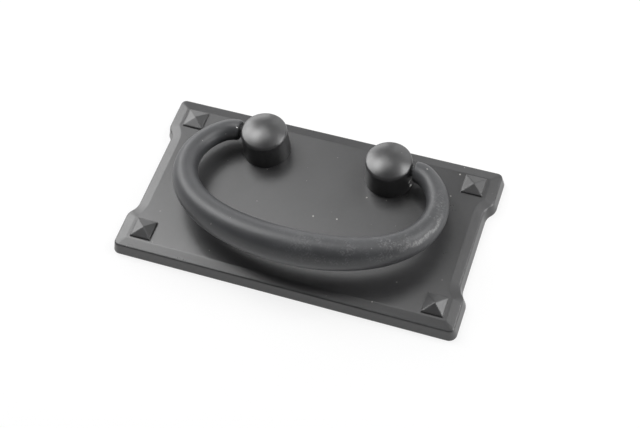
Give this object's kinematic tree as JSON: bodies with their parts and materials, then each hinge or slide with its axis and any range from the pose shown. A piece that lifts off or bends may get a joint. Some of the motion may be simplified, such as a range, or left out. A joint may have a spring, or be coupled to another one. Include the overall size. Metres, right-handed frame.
{
  "type": "drop pull",
  "caption": "Drop pull for a drawer or cabinet door: a tapered bail that lifts freely on domed posts above a bevelled back plate with studded corner ears.",
  "frame": {"origin": "centre of the back plate's rear face, on the surface that it is screwed to", "axes": "+Z out of the drawer front, +X along the plate and the pivot line, +Y from the grip towards the posts"},
  "size_m": [0.102, 0.0556, 0.0206],
  "materials": {
    "plate_coat": "matte black powder coat",
    "post_coat": "matte black powder coat",
    "bail_coat": "matte black powder coat"
  },
  "bodies": {
    "base": {"back_plate": "plate_coat", "left_post": "post_coat", "right_post": "post_coat"},
    "bail": {"bail": "bail_coat"}
  },
  "joints": [
    {"name": "bail_swing", "type": "hinge", "parent": "base", "child": "bail", "pos_m": [0, 0.0165, 0.0101], "axis": [-1, 0, 0], "range_deg": [-9.5, 178]}
  ]
}
